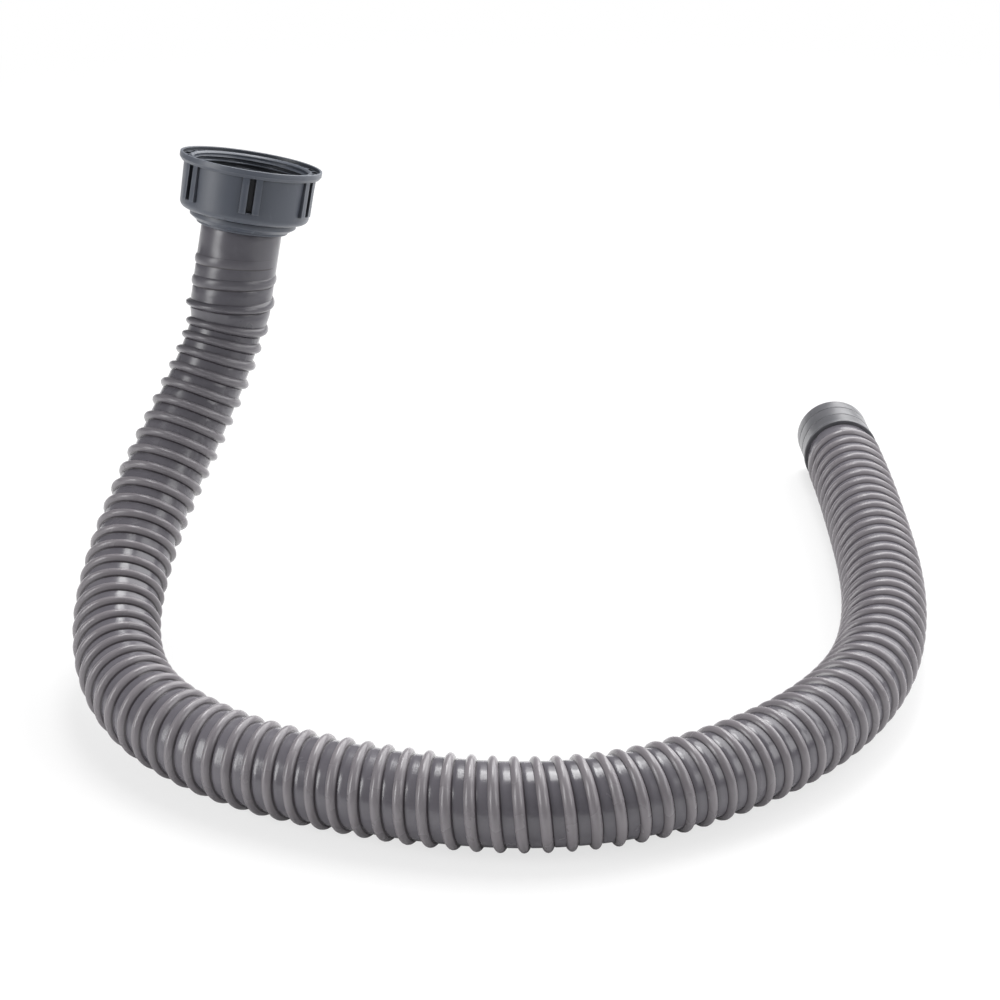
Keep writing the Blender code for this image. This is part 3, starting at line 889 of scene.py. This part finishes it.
    def lay_of(self, faces: list[np.ndarray], pitches: np.ndarray, sides: int) -> np.ndarray:
        """Gives the surface coordinates of each face's corners: pitches along, and share of a turn.

        On the seam the far side counts as a whole turn of the same row, so nothing jumps there. The
        plain faces all lie at a place between two ribs.

        Args:
            faces: the groups of faces, the spiral's own first and its seam second.
            pitches: each row's place in pitches.
            sides: how many points a row has.

        Returns:
            Two coordinates for each of the four corners of each face.
        """
        between, seam = faces[:2]
        spiral_lay = np.stack([pitches[between // sides], (between % sides) / sides], -1)
        seam_rows = seam[:, [0, 0, 3, 3]] // sides
        last_turn = (sides - 1) / sides
        seam_turns = np.broadcast_to(np.array([last_turn, 1.0, 1.0, last_turn]), seam.shape)
        seam_lay = np.stack([pitches[seam_rows], seam_turns], -1)
        plain_count = sum(len(group) for group in faces[2:])
        plain_lay = np.tile((self.plain_lay, 0.0), (plain_count, 4, 1))
        return np.concatenate([spiral_lay, seam_lay, plain_lay])


@dataclass(frozen=True)
class TurnedPiece:
    """A piece turned about an end's axis from a closed profile.

    Each corner has its radius, its height along the axis and how far from it the rounding starts.
    """

    name: str
    corners: tuple[Triple, ...]
    sides: int = 144

    def build(self, frame: EndFrame) -> bpy.types.Object:
        """Turns the profile about the axis.

        Args:
            frame: the end of the hose that the piece is on.

        Returns:
            The turned piece.
        """
        profile = rounded_profile(self.corners)
        angles = TURN * np.arange(self.sides) / self.sides
        points = frame.turned_points(angles[None, :], profile[:, 0:1], profile[:, 1:2])
        faces = grid_quads(len(profile), self.sides, True, True)
        return make_piece(self.name, points.reshape(-1, 3), faces)


@dataclass(frozen=True)
class InletFittings:
    """Heights and radii of the tail, the washer and the nut, measured up the neck's axis."""

    seat_gap: float = 0.0003
    turning_gap: float = 0.0004
    spigot_radius: float = 0.0170
    spigot_length: float = 0.0380
    bore_radius: float = 0.0156
    bead_radius: float = 0.0219
    bead_height: float = 0.0012
    collar_radius: float = 0.0255
    collar_cone_height: float = 0.0020
    collar_height: float = 0.0026
    barrel_radius: float = 0.0226
    flange_radius: float = 0.0258
    flange_thickness: float = 0.0030
    washer_inner_radius: float = 0.0175
    washer_thickness: float = 0.0030
    nut_lip_thickness: float = 0.0041

    @property
    def collar_top(self) -> float:
        """Height of the collar's top."""
        return self.seat_gap + self.bead_height + self.collar_cone_height + self.collar_height

    @property
    def nut_foot(self) -> float:
        """Height of the nut's underside."""
        return self.collar_top + self.seat_gap

    @property
    def nut_lip_top(self) -> float:
        """Height of the lip that draws the flange up, inside the nut."""
        return self.nut_foot + self.nut_lip_thickness

    @property
    def flange_foot(self) -> float:
        """Height of the flange's underside."""
        return self.nut_lip_top + self.turning_gap

    @property
    def washer_foot(self) -> float:
        """Height of the washer's underside."""
        return self.flange_foot + self.flange_thickness + self.seat_gap

    def tail(self) -> TurnedPiece:
        """Draws the tail: spigot, bead, conical collar, barrel and flange.

        Returns:
            The tail, ready to be turned.
        """
        cone_foot = self.seat_gap + self.bead_height
        flange_top = self.flange_foot + self.flange_thickness
        return TurnedPiece("flanged_tail", (
            (self.bore_radius, -self.spigot_length, Rounding.SOFT),
            (self.spigot_radius, -self.spigot_length, Rounding.LEAD),
            (self.spigot_radius, self.seat_gap, Rounding.CREASE),
            (self.bead_radius, self.seat_gap, Rounding.SOFT),
            (self.bead_radius, cone_foot, Rounding.FINE),
            (self.barrel_radius, cone_foot, Rounding.CREASE),
            (self.collar_radius, cone_foot + self.collar_cone_height, Rounding.SOFT),
            (self.collar_radius, self.collar_top, Rounding.EDGE),
            (self.barrel_radius, self.collar_top, Rounding.CREASE),
            (self.barrel_radius, self.flange_foot, Rounding.CREASE),
            (self.flange_radius, self.flange_foot, Rounding.EDGE),
            (self.flange_radius, flange_top, Rounding.EDGE),
            (self.bore_radius, flange_top, Rounding.MOUTH),
        ))

    def washer(self) -> TurnedPiece:
        """Draws the flat sealing washer.

        Returns:
            The washer, ready to be turned.
        """
        top = self.washer_foot + self.washer_thickness
        return TurnedPiece("rubber_washer", (
            (self.washer_inner_radius, self.washer_foot, Rounding.SOFT),
            (self.flange_radius, self.washer_foot, Rounding.SOFT),
            (self.flange_radius, top, Rounding.LEAD),
            (self.washer_inner_radius, top, Rounding.LEAD),
        ))


@dataclass(frozen=True)
class UnionNut:
    """The union nut: lip, threaded bore, flared rim with moulding pockets, and pairs of grip ribs.

    Angles are about the axis, and heights are measured as the fittings' are. A fade has its start and
    its length, and crest_width the cosine's shift and span that the thread's crest is cut to.
    """

    fittings: InletFittings
    height: float = 0.0260
    foot_radius: float = 0.0309
    top_radius: float = 0.0316
    foot_rounding: float = 0.0030
    bore_radius: float = 0.0273
    mouth_chamfer: float = 0.0006
    rim_radius: float = 0.0339
    rim_edge_height: float = 0.0024
    rim_rounding: float = 0.0004
    rim_chamfer_height: float = 0.0015
    rim_step: float = 0.0013
    rim_ring_width: float = 0.0013
    rim_lip_width: float = 0.0016
    rim_lip_drop: float = 0.0012
    channel_depth: float = 0.0016
    pocket_count: int = 24
    pocket_depth: float = 0.0014
    pocket_share: float = 0.72
    pocket_turn: float = math.radians(-3)
    grip_pairs: int = 6
    grip_width: float = 0.0034
    grip_gap: float = 0.0027
    grip_height: float = 0.0011
    grip_foot: float = 0.0052
    grip_turn: float = math.radians(16)
    slot_depth: float = 0.00215
    slot_foot_rise: float = 0.0006
    thread_pitch: float = 0.0023
    thread_depth: float = 0.0010
    crest_width: Pair = (0.35, 1.1)
    mouth_fade: Pair = (0.0006, 0.0020)
    foot_fade: Pair = (0.0030, 0.0015)
    edge: float = 0.00025
    row_gap: float = 0.0012
    lip_ring: float = 0.003
    even_sides: int = 240
    foot_rows: int = 8
    side_rows: int = 10
    flare_rows: int = 5
    thread_rows: int = 84

    @property
    def top(self) -> float:
        """Height of the rim's top."""
        return self.fittings.nut_foot + self.height

    @property
    def lip_top(self) -> float:
        """Height of the inner lip of the rim, round the mouth."""
        return self.top - self.rim_lip_drop

    @property
    def foot_bore(self) -> float:
        """Radius of the hole in the nut's foot, which turns on the tail's barrel."""
        return self.fittings.barrel_radius + self.fittings.turning_gap

    @property
    def pair_turns(self) -> np.ndarray:
        """Angles of the middles of the pairs of grip ribs."""
        return self.grip_turn + TURN * np.arange(self.grip_pairs) / self.grip_pairs

    @staticmethod
    def spans(middles: np.ndarray, width: float) -> np.ndarray:
        """Gives the two edges of each span of a width about its middle, as angles about the axis."""
        return np.stack([middles - width / 2, middles + width / 2], -1)

    def slot_spans(self) -> np.ndarray:
        """Gives the span of the slot between the ribs of each pair."""
        return self.spans(self.pair_turns, self.grip_gap / self.top_radius)

    def grip_spans(self) -> np.ndarray:
        """Finds the grip ribs.

        Returns:
            The span of each rib.
        """
        step = (self.grip_width + self.grip_gap) / 2 / self.top_radius
        middles = np.concatenate([self.pair_turns - step, self.pair_turns + step])
        return self.spans(middles, self.grip_width / self.top_radius)

    def pocket_spans(self) -> np.ndarray:
        """Finds the moulding pockets in the rim.

        Returns:
            The span of each pocket.
        """
        step = TURN / self.pocket_count
        middles = self.pocket_turn + step * (np.arange(self.pocket_count) + 0.5)
        return self.spans(middles, self.pocket_share * step)

    def columns(self) -> np.ndarray:
        """Lists the angles of the grid's columns: even ones, and two close to each upright edge.

        Returns:
            The angles in rising order.
        """
        near = self.edge / 2 / self.top_radius
        edges = np.concatenate([self.grip_spans().ravel(), self.pocket_spans().ravel()]) % TURN
        even = TURN * np.arange(self.even_sides) / self.even_sides
        apart = np.abs((even[:, None] - edges[None, :] + math.pi) % TURN - math.pi).min(axis=1)
        return np.sort(np.concatenate([even[apart > 2 * near], edges - near, edges + near]) % TURN)

    @staticmethod
    def inside(angles: np.ndarray, spans: np.ndarray) -> np.ndarray:
        """Tells which angles lie in one of the spans.

        Args:
            angles: the angles.
            spans: the two edges of each span.

        Returns:
            One row, with 1 for each angle that does and 0 for each that doesn't.
        """
        middle = spans.mean(axis=1)
        half = (spans[:, 1] - spans[:, 0]) / 2
        apart = np.abs((angles[:, None] - middle[None, :] + math.pi) % TURN - math.pi)
        return (apart < half[None, :]).any(axis=1).astype(float)[None, :]

    def outer_rows(self) -> np.ndarray:
        """Lists the rows from the lip's bore round the foot and up the side to the rim's edge.

        Returns:
            The radius, height, grip share and slot share of each row.
        """
        foot, edge = self.fittings.nut_foot, self.edge
        rim_foot = self.top - self.rim_edge_height
        body_top = rim_foot - self.rim_chamfer_height
        grip_foot = foot + self.grip_foot
        slot_foot = grip_foot + self.slot_foot_rise
        start = foot + self.foot_rounding
        arc = np.radians(np.linspace(-90, 0, self.foot_rows))
        underneath = np.array([
            (self.foot_bore, foot + edge),
            (self.foot_bore + edge, foot),
            (self.foot_bore + self.lip_ring, foot),
        ])
        rounding = np.stack([
            self.foot_radius + self.foot_rounding * (np.cos(arc) - 1),
            foot + self.foot_rounding * (np.sin(arc) + 1),
        ], -1)
        heights = np.concatenate([
            [start + self.row_gap, grip_foot - edge / 2, grip_foot + edge / 2, slot_foot, slot_foot + edge],
            np.linspace(slot_foot + self.row_gap, body_top, self.side_rows),
        ])
        slope = (self.top_radius - self.foot_radius) / (body_top - start)
        side = np.stack([self.foot_radius + slope * (heights - start), heights], -1)
        step = self.top_radius + self.rim_step
        flare = np.linspace((step, body_top + edge / 2), (self.rim_radius, rim_foot), self.flare_rows)
        rim = np.array([
            (self.rim_radius, rim_foot + self.rim_rounding),
            (self.rim_radius, self.top - self.rim_rounding),
            (self.rim_radius - 0.4 * edge, self.top - edge / 2),
            (self.rim_radius - 1.4 * edge, self.top),
        ])
        rows = np.concatenate([underneath, rounding, side, [(step - edge / 2, body_top)], flare, rim])
        on_side = np.zeros(len(rows), dtype=bool)
        on_side[len(underneath) + len(rounding):][:len(side)] = True
        grips = on_side & (rows[:, 1] > grip_foot)
        slots = on_side & (rows[:, 1] > slot_foot)
        return np.column_stack([rows, grips, slots])

    def rim_rows(self) -> np.ndarray:
        """Lists the rows over the rim, from its ring to its lip.

        Returns:
            The radius, height and pocket share of each row.
        """
        ring = self.rim_radius - self.rim_ring_width
        lip = self.bore_radius + self.rim_lip_width
        floor = self.top - self.channel_depth
        margin = (1 - self.pocket_share) * (ring - lip) / 2
        edge = self.edge
        return np.array([
            (ring + edge, self.top, 0.0),
            (ring, self.top - edge, 0.0),
            (ring - edge / 2, floor, 0.0),
            (ring - margin, floor, 0.0),
            (ring - margin - edge / 2, floor - edge, 1.0),
            (ring - margin - edge, floor - self.pocket_depth, 1.0),
            (lip + margin + edge, floor - self.pocket_depth, 1.0),
            (lip + margin + edge / 2, floor - edge, 1.0),
            (lip + margin, floor, 0.0),
            (lip + edge / 2, floor, 0.0),
            (lip, self.lip_top - edge, 0.0),
            (lip - edge, self.lip_top, 0.0),
            (self.bore_radius + self.mouth_chamfer + edge, self.lip_top, 0.0),
            (self.bore_radius + self.mouth_chamfer, self.lip_top - edge / 2, 0.0),
        ])

    def bore_points(self, columns: np.ndarray, frame: EndFrame) -> np.ndarray:
        """Works out the threaded bore, whose crests climb one thread pitch in one turn.

        The crest's height is the upper part of a cosine of the turn, eased in at the mouth and out at
        the foot, and taken from the bore's radius.

        Args:
            columns: the angles of the grid's columns.
            frame: the inlet's frame.

        Returns:
            The points by row and column, from the mouth down.
        """
        high = self.lip_top - self.mouth_chamfer - self.edge
        low = self.fittings.nut_lip_top + self.edge
        heights = np.linspace(high, low, self.thread_rows)[:, None]
        phase = heights / self.thread_pitch - columns[None, :] / TURN
        shift, width = self.crest_width
        crest = eased((np.cos(TURN * phase) + shift) / width)
        mouth_start, mouth_length = self.mouth_fade
        foot_start, foot_length = self.foot_fade
        fade = eased((high - mouth_start - heights) / mouth_length)
        fade = fade * eased((heights - low - foot_start) / foot_length)
        radii = self.bore_radius - self.thread_depth * crest * fade
        return frame.turned_points(columns[None, :], radii, heights)

    def build(self, frame: EndFrame) -> bpy.types.Object:
        """Joins the nut's rows into one closed surface.

        Args:
            frame: the inlet's frame.

        Returns:
            The nut.
        """
        columns = self.columns()
        grips = self.inside(columns, self.grip_spans())
        slots = self.inside(columns, self.slot_spans())
        pockets = self.inside(columns, self.pocket_spans())
        radii, heights, grip_rows, slot_rows = np.split(self.outer_rows(), 4, axis=1)
        lifted = np.maximum(radii, self.top_radius + self.grip_height) - radii
        sunk = np.minimum(radii, self.top_radius - self.slot_depth) - radii
        outer_radii = radii + lifted * grips * grip_rows + sunk * slots * slot_rows
        rim_radii, rim_heights, pocket_rows = np.split(self.rim_rows(), 3, axis=1)
        floor = self.top - self.channel_depth
        rim_heights = np.where(pocket_rows > 0, floor + (rim_heights - floor) * pockets, rim_heights)
        lip_top = self.fittings.nut_lip_top
        lip = np.array([
            (self.bore_radius - self.edge, lip_top),
            (self.foot_bore + self.edge, lip_top),
            (self.foot_bore, lip_top - self.edge),
        ])
        angles = columns[None, :]
        points = np.concatenate([
            frame.turned_points(angles, outer_radii, heights),
            frame.turned_points(angles, rim_radii, rim_heights),
            self.bore_points(columns, frame),
            frame.turned_points(angles, lip[:, 0:1], lip[:, 1:2]),
        ])
        faces = grid_quads(len(points), len(columns), True, True)
        return make_piece("union_nut_moulding", points.reshape(-1, 3), faces, sharp_from=32.0)


@dataclass(frozen=True)
class OutletCuff:
    """The smooth cuff on the hose's outlet: spigot in the hose, raised lip and body with two grooves."""

    seat_gap: float = 0.0003
    radius: float = 0.0193
    bore_radius: float = 0.0168
    reach: float = 0.0281
    lip_radius: float = 0.0200
    lip_width: float = 0.0025
    lip_slope: float = 0.0003
    spigot_radius: float = 0.0156
    spigot_bore_radius: float = 0.0142
    spigot_length: float = 0.0120
    groove_width: float = 0.0008
    groove_depth: float = 0.0005
    first_groove: float = 0.0110
    groove_step: float = 0.0091
    edge: float = 0.0006

    def piece(self) -> TurnedPiece:
        """Draws the cuff: spigot, raised lip, grooved body and shoulder inside.

        Returns:
            The cuff, ready to be turned.
        """
        lip_top = self.seat_gap + self.lip_width
        corners = [
            (self.spigot_bore_radius, -self.spigot_length, Rounding.SOFT),
            (self.spigot_radius, -self.spigot_length, Rounding.SOFT),
            (self.spigot_radius, self.seat_gap, Rounding.CREASE),
            (self.lip_radius, self.seat_gap, self.edge),
            (self.lip_radius, lip_top, self.edge),
            (self.radius, lip_top + self.lip_slope, Rounding.SOFT),
        ]
        for place in (self.first_groove, self.first_groove + self.groove_step):
            corners += [
                (self.radius, place - self.groove_width / 2, Rounding.FINE),
                (self.radius - self.groove_depth, place, Rounding.CREASE),
                (self.radius, place + self.groove_width / 2, Rounding.FINE),
            ]
        corners += [
            (self.radius, self.reach, self.edge),
            (self.bore_radius, self.reach, self.edge / 2),
            (self.bore_radius, lip_top, Rounding.SOFT),
            (self.spigot_bore_radius, lip_top, Rounding.SOFT),
        ]
        return TurnedPiece("smooth_outlet_cuff", tuple(corners))


@dataclass(frozen=True)
class Softbox:
    """A rectangular studio lamp that faces its target."""

    name: str
    place: Triple
    target: Triple
    size: Pair
    power: float

    def build(self) -> None:
        """Adds the lamp to the scene."""
        lamp = bpy.data.lights.new(self.name, "AREA")
        lamp.shape = "RECTANGLE"
        lamp.size, lamp.size_y = self.size
        lamp.energy = self.power
        holder = bpy.data.objects.new(self.name, lamp)
        towards = Vector(self.target) - Vector(self.place)
        turn = towards.to_track_quat("-Z", "Y").to_matrix().to_4x4()
        holder.matrix_world = Matrix.Translation(self.place) @ turn
        bpy.context.scene.collection.objects.link(holder)


@dataclass(frozen=True)
class Studio:
    """The pale floor, the soft lamps, the surroundings and the camera."""

    camera_place: Triple = (-0.0052, -1.0615, 0.5924)
    camera_pitch: float = math.radians(25.957)
    lens: float = 90.0
    floor_half: float = 30.0
    floor_whiteness: float = 0.82
    floor_lift: float = 0.72
    shadow_reach: Pair = (0.45, 1.10)
    surroundings: float = 0.21
    lamps: tuple[Softbox, ...] = (
        Softbox("top_softbox", (0.03, 0.42, 1.35), (0.0, 0.0, 0.0), (0.46, 0.80), 12.5),
        Softbox("back_softbox", (1.15, 1.25, 1.45), (0.05, 0.0, 0.05), (2.8, 2.4), 78.0),
        Softbox("left_softbox", (-1.50, -0.66, 0.68), (-0.05, 0.0, 0.05), (0.60, 1.15), 17.0),
        Softbox("right_softbox", (1.45, -0.55, 0.85), (0.05, 0.0, 0.05), (0.9, 0.9), 10.0),
    )

    def build(self) -> None:
        """Builds the studio round the part."""
        self._floor()
        self._surroundings()
        for lamp in self.lamps:
            lamp.build()
        self._camera()
        bpy.context.scene.view_settings.view_transform = "Standard"

    def _floor(self) -> None:
        """Adds the floor, which the camera sees lifted to white and which keeps the part's shadow."""
        half = self.floor_half
        corners = [(-half, -half, 0.0), (half, -half, 0.0), (half, half, 0.0), (-half, half, 0.0)]
        mesh = bpy.data.meshes.new("studio_floor")
        mesh.from_pydata(corners, [], [(0, 1, 2, 3)])
        floor = bpy.data.objects.new("studio_floor", mesh)
        bpy.context.scene.collection.objects.link(floor)
        material = bpy.data.materials.new("pale_floor")
        material.use_nodes = True
        graph = Graph(material.node_tree)
        graph.tree.nodes.remove(graph.tree.nodes["Principled BSDF"])
        white = opaque((self.floor_whiteness,) * 3)
        matt = graph.node("BsdfDiffuse", {"Color": white})
        glow = graph.node("Emission", {"Color": opaque((1.0, 1.0, 1.0)), "Strength": 1.0})
        seen = graph.node("LightPath").outputs["Is Camera Ray"]
        place = graph.node("TexCoord").outputs["Object"]
        reach = graph.node("VectorMath", {"Vector": place}, operation="LENGTH").outputs["Value"]
        lift = graph.ramp(reach, *self.shadow_reach, self.floor_lift, 1.0)
        share = graph.math("MULTIPLY", seen, lift)
        mixed = graph.node("MixShader", {0: share, 1: matt.outputs[0], 2: glow.outputs[0]})
        graph.tree.links.new(mixed.outputs[0], graph.tree.nodes["Material Output"].inputs["Surface"])
        mesh.materials.append(material)

    def _surroundings(self) -> None:
        """Lights the part from all round, and shows the camera plain white."""
        world = bpy.data.worlds.new("pale_surroundings")
        world.use_nodes = True
        graph = Graph(world.node_tree)
        background = graph.tree.nodes["Background"]
        background.inputs["Color"].default_value = opaque((1.0, 1.0, 1.0))
        seen = graph.node("LightPath").outputs["Is Camera Ray"]
        strength = graph.node(
            "MapRange", {"Value": seen, "To Min": self.surroundings, "To Max": 1.0}
        )
        graph.tree.links.new(strength.outputs["Result"], background.inputs["Strength"])
        bpy.context.scene.world = world

    def _camera(self) -> None:
        """Adds the camera at the photograph's viewing angle."""
        camera = bpy.data.objects.new("camera", bpy.data.cameras.new("camera"))
        camera.data.lens = self.lens
        camera.location = self.camera_place
        camera.rotation_euler = (math.pi / 2 - self.camera_pitch, 0.0, 0.0)
        bpy.context.scene.collection.objects.link(camera)
        bpy.context.scene.camera = camera


@dataclass(frozen=True)
class DrainHose:
    """The whole drain hose."""

    hose: RibbedHose = RibbedHose()
    fittings: InletFittings = InletFittings()
    cuff: OutletCuff = OutletCuff()
    path_step: int = 8

    def build(self) -> None:
        line = CentreLine(ROUTE)
        inlet = line.end_frame(0.0, -1.0)
        outlet = line.end_frame(line.length, 1.0)
        effects = SharedEffects()
        hard = MouldedPlastic(
            name="hard_grey_plastic",
            colour=(0.055, 0.063, 0.082),
            cloud_colour=(0.062, 0.070, 0.089),
            wear_and_highlight_colour=(0.145, 0.157, 0.182),
            roughness=0.42,
            scuffed_roughness=0.60,
        ).make(effects)
        smooth = MouldedPlastic(
            name="grey_cuff_plastic",
            colour=(0.086, 0.086, 0.095),
            cloud_colour=(0.096, 0.096, 0.105),
            wear_and_highlight_colour=(0.200, 0.200, 0.212),
            roughness=0.34,
            scuffed_roughness=0.46,
            painted_shade_strength=0.20,
        ).make(effects)
        rubber = MouldedPlastic(
            name="black_washer_rubber",
            colour=(0.016, 0.016, 0.017),
            cloud_colour=(0.024, 0.024, 0.025),
            wear_and_highlight_colour=(0.050, 0.050, 0.052),
            roughness=0.72,
            scuffed_roughness=0.86,
        ).make(effects)
        hose_plastic = RibbedHosePlastic(self.hose.rib_width / self.hose.rib_pitch).make(effects)
        hose = finish_piece(self.hose.build(line), hose_plastic, Body.HOSE, "hose")
        finish_piece(self.fittings.tail().build(inlet), hard, Body.HOSE, "hose_tail")
        finish_piece(self.fittings.washer().build(inlet), rubber, Body.HOSE, "sealing_washer")
        finish_piece(UnionNut(self.fittings).build(inlet), hard, Body.NUT, "union_nut")
        cuff = finish_piece(self.cuff.piece().build(outlet), smooth, Body.HOSE, "outlet_cuff")


def main() -> None:
    """Loads the frame, builds the part and its studio, and logs each piece's face count."""
    logging.basicConfig(level=logging.INFO, format="%(name)s: %(message)s")
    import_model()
    Studio().build()
    DrainHose().build()


if __name__ == "__main__":
    main()
